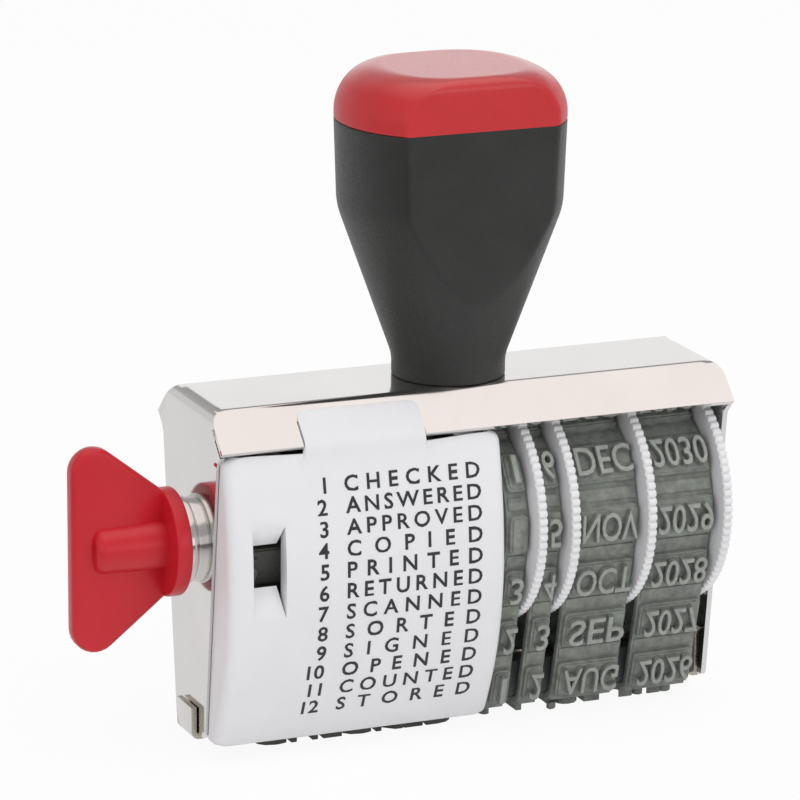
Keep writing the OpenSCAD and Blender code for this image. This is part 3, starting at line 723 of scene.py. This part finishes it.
def make_cover():
    """The moulded cover with its rolled sides, window and tab."""
    columns = cover_columns()
    window_rows = [cover_share(WINDOW_HIGH), cover_share(WINDOW_LOW)]
    edge_rows = [0, 0.008, 0.016, 0.024, 0.032, 0.05, 0.08, 0.965, 0.975, 0.985, 0.993, 1.0]
    rows = sorted(edge_rows + window_rows + [k / 24 for k in range(3, 24)])
    bm = bmesh.new()
    bmesh.ops.create_grid(bm, x_segments=len(columns) - 1, y_segments=len(rows) - 1, size=1)
    grid = {}
    for v in bm.verts:
        i = round((v.co.x + 1) / 2 * (len(columns) - 1))
        j = round((v.co.y + 1) / 2 * (len(rows) - 1))
        grid[v] = (i, j)
        v.co = cover_spot(columns[i], rows[j])
    place = {key: v for v, key in grid.items()}
    at = {column[0]: i for i, column in enumerate(columns)}
    first, last = at[WINDOW_LEFT], at[WINDOW_RIGHT]
    high, low = rows.index(window_rows[0]), rows.index(window_rows[1])

    def in_window(v):
        return first <= grid[v][0] <= last and high <= grid[v][1] <= low

    top = range(at[TAB_LEFT], at[TAB_RIGHT])
    tab_edge = [bm.edges.get((place[(i, 0)], place[(i + 1, 0)])) for i in top]
    cut_window(bm, [f for f in bm.faces if all(in_window(v) for v in f.verts)])
    raise_tab(bm, tab_edge)
    bmesh.ops.recalc_face_normals(bm, faces=bm.faces[:])
    if sum(f.normal.y for f in bm.faces if abs(f.normal.y) > 0.9) > 0:
        bmesh.ops.reverse_faces(bm, faces=bm.faces[:])
    made = piece("phrase_cover", bm, [white], "stamp_body", "cover", slot="white_plastic", sharp=50)
    thicken(made, COVER_WALL, -1, 0.12)


# Lettering


def letters(words, height, depth=0.0, slope=0.0, fat=0.0, spacing=1.0):
    """Words as a solid standing on Z = 0, centred on X, with their foot on Y = 0."""
    capital = 0.729
    text = bpy.data.curves.new("words", "FONT")
    text.body = words
    text.size = height / capital
    text.align_x = "CENTER"
    text.space_character = spacing
    text.resolution_u = 3
    text.extrude = max(depth / 2 - slope, 0)
    text.bevel_depth = slope
    text.bevel_resolution = 0
    text.offset = fat
    carrier = bpy.data.objects.new("words", text)
    bpy.context.scene.collection.objects.link(carrier)
    bpy.context.view_layer.update()
    shape = carrier.evaluated_get(bpy.context.evaluated_depsgraph_get())
    bm = bmesh.new()
    bm.from_mesh(shape.to_mesh())
    shape.to_mesh_clear()
    bpy.data.objects.remove(carrier)
    bpy.data.curves.remove(text)
    bmesh.ops.remove_doubles(bm, verts=bm.verts[:], dist=1e-4)
    low = min(v.co.z for v in bm.verts)
    bmesh.ops.translate(bm, verts=bm.verts[:], vec=(0, 0, -low))
    return bm


def span(bm):
    """Where a shape begins and ends along X."""
    xs = [v.co.x for v in bm.verts]
    return min(xs), max(xs)


def width_of(words, height, spacing):
    """How wide words come out with that spacing."""
    bm = letters(words, height, spacing=spacing)
    low, high = span(bm)
    bm.free()
    return high - low


def make_list():
    """The numbered list printed on the cover: plain office words, each spread to the same width."""
    left, right, number_right = -19.5, -0.9, -22.0
    height, film, fat = 2.1, 0.03, 0.05
    top_row_z, bottom_row_z = 37.04, 6.93
    count = 400
    marks = [cover_at(k / count) for k in range(count + 1)]
    lengths = [0.0]
    for a, b in zip(marks, marks[1:]):
        lengths.append(lengths[-1] + (b - a).length)

    def at_length(s):
        return next(mark for mark, length in zip(marks, lengths) if length >= s)

    def length_at(z):
        return min(zip(marks, lengths), key=lambda pair: abs(pair[0].y - z))[1]

    first, last = length_at(top_row_z), length_at(bottom_row_z)
    parts = []
    for row, word in enumerate(PHRASES):
        centre = first + (last - first) * row / (len(PHRASES) - 1)
        narrow, wide = (width_of(word, height, spacing) for spacing in (1.0, 2.0))
        line = letters(word, height, film, 0, fat, 1 + (right - left - narrow) / (wide - narrow))
        bmesh.ops.translate(line, verts=line.verts[:], vec=(left - span(line)[0], 0, 0))
        number = letters(str(row + 1), height, film, 0, fat)
        bmesh.ops.translate(number, verts=number.verts[:], vec=(number_right - span(number)[1], 0, 0))
        for bm in (line, number):
            for v in bm.verts:
                spot = at_length(centre + height / 2 - v.co.y)
                v.co = (v.co.x, spot.x - 0.01 - v.co.z, spot.y)
            bmesh.ops.recalc_face_normals(bm, faces=bm.faces[:])
            parts.append(bm)
    piece("cover_list", joined(*parts), [ink], "stamp_body", slot="white_plastic")


# Wheels


def make_wheel(name):
    """A thumb wheel: toothed rim, web and drum in one moulding."""
    drum = reach(name + "_wheel")[0].x
    face = reach(name + "_wheel")[1].x
    x = face - DISC
    edge, web_r = 0.16, 12.4
    dips = (0.42, 0.2, 0.06, 0, 0, 0, 0.06, 0.2)
    count = TEETH * len(dips)
    rim = bmesh.new()
    ring = bmesh.ops.create_circle(rim, segments=count, radius=WHEEL_R)["verts"]
    links = rim.edges[:]
    toothed = [(x, edge), (x + edge, 0), (face - edge, 0), (face, edge)]
    for across, trim in toothed + [(face, None), (x, None)] + toothed[:1]:
        if rim.faces or across > x:
            grown = bmesh.ops.extrude_edge_only(rim, edges=links)
            links, ring = grown_edges(grown), grown_verts(grown)
        for v in ring:
            a = math.atan2(v.co.y, v.co.x)
            tooth = WHEEL_R - dips[round(a / math.tau * count) % len(dips)]
            r = web_r - 0.2 if trim is None else tooth - trim
            v.co = (r * math.cos(a), r * math.sin(a), across)
    bmesh.ops.remove_doubles(rim, verts=rim.verts[:], dist=1e-4)
    bmesh.ops.recalc_face_normals(rim, faces=rim.faces[:])
    bore, sunk = AXLE_R + 0.06, 0.05
    corners = [
        (bore, drum, 0),
        (DRUM_R, drum, 0.2),
        (DRUM_R, x, 0.3),
        (web_r, x + sunk, 0),
        (web_r, face - sunk, 0),
        (bore, face - sunk, 0),
        (bore, drum, 0),
    ]
    hub = turned(rounded(corners, 4), 96)
    wheel = on_axle(joined(rim, hub))
    piece(name + "_thumb_wheel", wheel, [white], name + "_dial", name + "_wheel", slot="white_plastic")


# Bands


class Belt:
    """The path of a band round its drum and the platen, with its rows set ahead by a shift."""

    def __init__(self, drum_r, half, shift):
        self.shift = shift
        self.r = drum_r + 0.3
        self.y = half + 0.1 - TURN_R
        self.z = TYPE + PLATE + BAND + TURN_R
        way = Vector((self.y, AXLE_Z - self.z))
        self.lean = math.asin((self.r - TURN_R) / way.length) - math.atan2(*way)
        self.run = math.sqrt(way.length_squared - (self.r - TURN_R) ** 2)
        self.turn = (TURN_R + BAND / 2) * (math.pi / 2 - self.lean)
        self.wrap = (self.r + BAND / 2) * (math.pi / 2 + self.lean)
        self.pitch = 2 * (self.y + self.turn + self.run + self.wrap) / POSITIONS

    def outline(self, out):
        """Closed line at that distance outside the band's inner face."""

        def arc(y, z, r, a0, a1, steps):
            turns = [a0 + (a1 - a0) * k / steps for k in range(steps + 1)]
            return [(y + r * math.cos(a), z + r * math.sin(a)) for a in turns]

        return (
            arc(0, AXLE_Z, self.r + out, math.pi + self.lean, -self.lean, 72)
            + arc(self.y, self.z, TURN_R + out, -self.lean, -math.pi / 2, 10)
            + arc(-self.y, self.z, TURN_R + out, -math.pi / 2, self.lean - math.pi, 10)
        )

    def spot(self, row):
        """Matrix of a row's place on the middle line: X along the axle, Y with the travel, Z outwards."""
        s = row * self.pitch + self.shift
        mid = TURN_R + BAND / 2
        left = abs(s) - self.y
        slope = math.pi + self.lean
        if left <= 0:
            y, z, a = -abs(s), self.z - mid, 1.5 * math.pi
        elif left <= self.turn:
            a = 1.5 * math.pi - left / mid
            y, z = -self.y + mid * math.cos(a), self.z + mid * math.sin(a)
        elif left <= self.turn + self.run:
            a, on = slope, left - self.turn
            y = -self.y + mid * math.cos(a) + on * math.sin(a)
            z = self.z + mid * math.sin(a) - on * math.cos(a)
        else:
            a = slope - (left - self.turn - self.run) / (self.r + BAND / 2)
            y, z = (self.r + BAND / 2) * math.cos(a), AXLE_Z + (self.r + BAND / 2) * math.sin(a)
        if s < 0:
            y, a = -y, math.pi - a
        out = Vector((0, math.cos(a), math.sin(a)))
        on = Vector((0, math.sin(a), -math.cos(a)))
        turn = Matrix((Vector((1, 0, 0)), on, out)).transposed().to_4x4()
        return Matrix.Translation((0, y, z)) @ turn


def band_loop(belt, x0, x1):
    """The flat loop itself."""
    bm = bmesh.new()
    rings = []
    for out in (BAND, 0):
        verts = [bm.verts.new((x0, y, z)) for y, z in belt.outline(out)]
        rings += [bm.edges.new(pair) for pair in zip(verts, verts[1:] + verts[:1])]
    made = bmesh.ops.bridge_loops(bm, edges=rings)
    grown = bmesh.ops.extrude_face_region(bm, geom=made["faces"])
    bmesh.ops.translate(bm, verts=grown_verts(grown), vec=(x1 - x0, 0, 0))
    bmesh.ops.recalc_face_normals(bm, faces=bm.faces[:])
    return soften(bm, 0.12, 2, 50)


def block(x0, x1, length, low, high, corner, edge):
    """A plate with round corners and broken top edges, Z outwards from the band's middle line."""
    bm = bmesh.new()
    bmesh.ops.create_cube(bm, size=1)
    bmesh.ops.scale(bm, verts=bm.verts[:], vec=(x1 - x0, length, high - low))
    bmesh.ops.translate(bm, verts=bm.verts[:], vec=((x0 + x1) / 2, 0, (low + high) / 2))
    upright = [e for e in bm.edges if abs(e.verts[0].co.z - e.verts[1].co.z) > 0.1]
    bmesh.ops.bevel(bm, geom=upright, offset=corner, segments=3, profile=0.5, affect="EDGES", material=-1)
    top = [e for e in bm.edges if all(v.co.z > high - 0.01 for v in e.verts)]
    bmesh.ops.bevel(bm, geom=top, offset=edge, segments=2, profile=0.5, affect="EDGES", material=-1)
    return bm


def raised_words(words, x0, x1, height, foot, depth, upright=False):
    """Type that fills x0 to x1, standing from foot, turned over so that it prints the right way round."""
    bm = letters(words, height, depth, 0.07, 0.02)
    low, high = span(bm)
    squeeze = min((x1 - x0) / (high - low), 1.12)
    for v in bm.verts:
        v.co.x = (v.co.x - (low + high) / 2) * squeeze + (x0 + x1) / 2
        v.co.y = (v.co.y - height / 2) * (1 if upright else -1)
        v.co.z += foot
    bmesh.ops.recalc_face_normals(bm, faces=bm.faces[:])
    for f in bm.faces:
        f.material_index = int(all(v.co.z > foot + depth - 0.01 for v in f.verts))
    return bm


def make_band(name, belt, words, skins, number_room=0.0):
    """A rubber band with its plates, bars and raised type."""
    x0, x1 = reach(name)[0].x, reach(name)[1].x
    plate_top = BAND / 2 + PLATE
    sunk, margin = 0.05, 0.3
    type_height, number_height = 4.0, 3.0
    parts = [band_loop(belt, x0, x1)]
    start = -(POSITIONS - 1) // 2
    for i in range(start, start + POSITIONS):
        made = [
            block(x0 + margin, x1 - margin, 5.1, -0.1, plate_top - 0.25, 0.55, 0.1),
            block(x0 + 0.6, x1 - 0.6, 4.6, 0, plate_top, 0.5, 0.12),
        ]
        word = words[i % POSITIONS]
        if word:
            room = x0 + 0.65 + number_room, x1 - 0.65
            made.append(raised_words(word, *room, type_height, plate_top - sunk, TYPE + sunk))
        if number_room:
            room = x0 + 1.2, x0 + number_room - 0.9
            number = str(i % POSITIONS + 1)
            made.append(raised_words(number, *room, number_height, plate_top - sunk, 0.4, True))
        for bm in made:
            bmesh.ops.transform(bm, matrix=belt.spot(i), verts=bm.verts[:])
        bar = block(x0 + margin, x1 - margin, 1.6, 0, BAND / 2 + 0.2, 0.12, 0.1)
        bmesh.ops.transform(bar, matrix=belt.spot(i + 0.5), verts=bar.verts[:])
        parts += [*made, bar]
    piece(name + "_rubber", joined(*parts), skins, "stamp_body", name, slot="band_rubber")


def make_bands():
    """The four date bands and the phrase band."""
    date = Belt(DRUM_R, 5.0, 0.5)
    rows = {
        "tens": "0123 123 0123",
        "units": "1234567890123",
        "month": ["JUL", "AUG", "SEP", "OCT", "NOV", "DEC", "JAN", "FEB", "MAR", "APR", "MAY", "JUN", ""],
        "year": [str(2025 + k) for k in range(12)] + [""],
    }
    for name, words in rows.items():
        make_band(name + "_band", date, [word.strip() for word in words], [rubber, worn_rubber])
    make_band("phrase_band", Belt(PHRASE_R, 4.0, 1.6), [*PHRASES, ""], [phrase_rubber, worn_phrase], 4.0)


# Axle ends and the solids that keep their own shape


def make_axle():
    """The axle with rounded ends."""
    low, high = reach("axle")[0].x, reach("axle")[1].x
    rod = turned(rounded([(0, low, 0), (AXLE_R, low, 0.2), (AXLE_R, high, 0.3), (0, high, 0)], 3), 64)
    piece("axle_rod", on_axle(rod), [steel], "phrase_key", "axle", slot="bright_steel")


def make_clip():
    """The ring that holds the axle at the right cheek."""
    low, high = reach("axle_clip")[0].x, reach("axle_clip")[1].x
    clip_r = 3.6
    corners = [
        (AXLE_R, low, 0),
        (clip_r, low, 0.12),
        (clip_r, high, 0.2),
        (AXLE_R, high, 0.1),
        (AXLE_R, low, 0),
    ]
    ring = on_axle(turned(rounded(corners, 3), 64))
    piece("axle_end_clip", ring, [steel], "phrase_key", "axle_clip", slot="bright_steel")


def dress_solids():
    """Finishes for the solids that are shown as they are."""
    skins = {
        "phrase_drum": white,
        "drum_pin": steel,
        "drum_spacer": steel,
        "platen": platen_dark,
        "handle_insert": brass,
        "handle_screw": steel,
        "handle_washer": steel,
    }
    for name, skin in skins.items():
        mesh = solids[name].data
        mesh.materials.clear()
        mesh.materials.append(skin)


# Stage


def light_paths(tree):
    """The light path node and a switch that is 1 for what is seen straight, mirrored or through glass."""
    path = add_node(tree, "ShaderNodeLightPath")
    seen = add_node(tree, "ShaderNodeMath", operation="MAXIMUM")
    through = add_node(tree, "ShaderNodeMath", operation="MAXIMUM")
    tree.links.new(path.outputs["Is Camera Ray"], seen.inputs[0])
    tree.links.new(path.outputs["Is Glossy Ray"], seen.inputs[1])
    tree.links.new(seen.outputs[0], through.inputs[0])
    tree.links.new(path.outputs["Is Transmission Ray"], through.inputs[1])
    return path, through.outputs[0]


def make_table():
    """A white table that keeps a soft shadow under the stamp, with painted shade towards the front left where
    it shows in reflections.
    """
    bm = bmesh.new()
    bmesh.ops.create_grid(bm, x_segments=1, y_segments=1, size=3.0)
    bmesh.ops.translate(bm, verts=bm.verts[:], vec=(0, 0, -0.0002))
    mesh = bpy.data.meshes.new("table")
    bm.to_mesh(mesh)
    bm.free()
    table = bpy.data.objects.new("table", mesh)
    bpy.context.scene.collection.objects.link(table)
    skin = bpy.data.materials.new("white_table")
    skin.use_nodes = True
    tree = skin.node_tree
    tree.nodes.clear()
    path, seen = light_paths(tree)
    share = add_node(tree, "ShaderNodeMath", {1: 0.93}, operation="MULTIPLY")
    where = add_node(tree, "ShaderNodeTexCoord")
    # Painted shade for reflections: in mirrors the table glows at 0.8 behind and beside the stamp, fading to
    # 0.1 towards the front left.
    ahead = add_node(tree, "ShaderNodeVectorMath", {1: (-0.6, -0.8, 0)}, operation="DOT_PRODUCT")
    painted_shade_range = {"From Min": 0.03, "From Max": 0.2, "To Min": -0.2, "To Max": -0.9}
    painted_floor_shade = add_node(tree, "ShaderNodeMapRange", painted_shade_range)
    mirrored = add_node(tree, "ShaderNodeMath", {2: 1.0}, operation="MULTIPLY_ADD")
    matt = add_node(tree, "ShaderNodeBsdfDiffuse", {"Color": (0.9, 0.9, 0.9, 1)})
    glow = add_node(tree, "ShaderNodeEmission", {"Color": (1, 1, 1, 1)})
    mix = add_node(tree, "ShaderNodeMixShader")
    out = add_node(tree, "ShaderNodeOutputMaterial")
    tree.links.new(where.outputs["Object"], ahead.inputs[0])
    tree.links.new(ahead.outputs["Value"], painted_floor_shade.inputs["Value"])
    tree.links.new(path.outputs["Is Glossy Ray"], mirrored.inputs[0])
    tree.links.new(painted_floor_shade.outputs["Result"], mirrored.inputs[1])
    tree.links.new(mirrored.outputs[0], glow.inputs["Strength"])
    tree.links.new(seen, share.inputs[0])
    tree.links.new(share.outputs[0], mix.inputs["Fac"])
    tree.links.new(matt.outputs[0], mix.inputs[1])
    tree.links.new(glow.outputs[0], mix.inputs[2])
    tree.links.new(mix.outputs[0], out.inputs["Surface"])
    mesh.materials.append(skin)


def height_ramp(tree, horizon, belt):
    """Tones of a side of the room by height: horizon, darker belt, warm ceiling."""
    low, middle, high = (horizon, horizon, horizon, 1), (belt, belt, belt, 1), (1.11, 1.04, 1.01, 1)
    stops = ((0.0, low), (0.3, low), (0.36, middle), (0.72, middle), (0.82, high), (1.0, high))
    made = add_node(tree, "ShaderNodeValToRGB")
    ramp = made.color_ramp
    for position, _ in stops[1:-1]:
        ramp.elements.new(position)
    for element, (_, colour) in zip(ramp.elements, stops):
        element.color = colour
    return made


def make_room():
    """Even light all round, white to the eye, with a darker belt over the horizon in reflections."""
    room = bpy.data.worlds.new("white_room")
    bpy.context.scene.world = room
    room.use_nodes = True
    tree = room.node_tree
    tree.nodes.clear()
    path, seen = light_paths(tree)
    where = add_node(tree, "ShaderNodeTexCoord")
    parts = add_node(tree, "ShaderNodeSeparateXYZ")
    left, right = height_ramp(tree, 0.7, 0.46), height_ramp(tree, 0.97, 0.36)
    across = add_node(tree, "ShaderNodeMapRange", {"From Min": -0.25, "From Max": 0.25})
    walls = add_node(tree, "ShaderNodeMix", data_type="RGBA")
    eye = add_node(tree, "ShaderNodeMix", data_type="RGBA")
    eye.inputs[7].default_value = (1, 1, 1, 1)
    dim = add_node(tree, "ShaderNodeBackground", {"Color": (0.98, 0.985, 1, 1), "Strength": 0.56})
    bright = add_node(tree, "ShaderNodeBackground", {"Strength": 1.0})
    mix = add_node(tree, "ShaderNodeMixShader")
    out = add_node(tree, "ShaderNodeOutputWorld")
    tree.links.new(where.outputs["Generated"], parts.inputs[0])
    tree.links.new(parts.outputs["X"], across.inputs["Value"])
    tree.links.new(across.outputs["Result"], walls.inputs["Factor"])
    for side, place in ((left, 6), (right, 7)):
        tree.links.new(parts.outputs["Z"], side.inputs["Fac"])
        tree.links.new(side.outputs["Color"], walls.inputs[place])
    tree.links.new(path.outputs["Is Camera Ray"], eye.inputs["Factor"])
    tree.links.new(walls.outputs[2], eye.inputs[6])
    tree.links.new(eye.outputs[2], bright.inputs["Color"])
    tree.links.new(seen, mix.inputs["Fac"])
    tree.links.new(dim.outputs[0], mix.inputs[1])
    tree.links.new(bright.outputs[0], mix.inputs[2])
    tree.links.new(mix.outputs[0], out.inputs["Surface"])


def soft_lamp(name, place, size, power, colour=(1, 1, 1)):
    """A square soft box that looks at the stamp."""
    lamp = bpy.data.lights.new(name, "AREA")
    lamp.size = size
    lamp.energy = power
    lamp.color = colour
    holder = bpy.data.objects.new(name, lamp)
    bpy.context.scene.collection.objects.link(holder)
    holder.location = place
    holder.rotation_euler = (Vector((0, 0, 0.045)) - Vector(place)).to_track_quat("-Z", "Y").to_euler()
    holder.visible_glossy = False


def make_camera():
    """The photograph's viewpoint: in front, to the left and a little above."""
    turn, rise, roll = -0.399706, 0.263623, 0.00728675
    distance, across, upward = 631.85, 6.2265, 3.6597
    sensor, pixels_per_mm, picture = 36, 7.7009, 800
    right = Vector((math.cos(turn), math.sin(turn), 0))
    back = Vector((math.sin(turn) * math.cos(rise), -math.cos(turn) * math.cos(rise), math.sin(rise)))
    up = back.cross(right)
    right, up = right * math.cos(roll) + up * math.sin(roll), up * math.cos(roll) - right * math.sin(roll)
    spot = (Vector((0, 0, ROOF_Z)) + back * distance - right * across - up * upward) * MM
    lens = bpy.data.cameras.new("camera")
    lens.sensor_width = sensor
    lens.lens = sensor * pixels_per_mm * distance / picture
    lens.clip_start = 0.01
    lens.clip_end = 20
    camera = bpy.data.objects.new("camera", lens)
    bpy.context.scene.collection.objects.link(camera)
    camera.matrix_world = Matrix.Translation(spot) @ Matrix((right, up, back)).transposed().to_4x4()
    bpy.context.scene.camera = camera


make_camera()
make_table()
make_room()
soft_lamp("top_box", (0.1, -0.25, 1.2), 0.8, 4.3, (1, 0.985, 0.97))
soft_lamp("left_box", (-1.0, -0.8, 0.5), 0.8, 2.4)
soft_lamp("right_box", (0.55, -1.1, 0.4), 0.7, 2.9)
make_frame()
make_strap()
make_grip()
make_cap()
make_key()
make_bush()
make_cover()
make_list()
for dial in DIALS:
    make_wheel(dial)
make_bands()
make_axle()
make_clip()
dress_solids()
bpy.context.scene.view_settings.view_transform = "Standard"
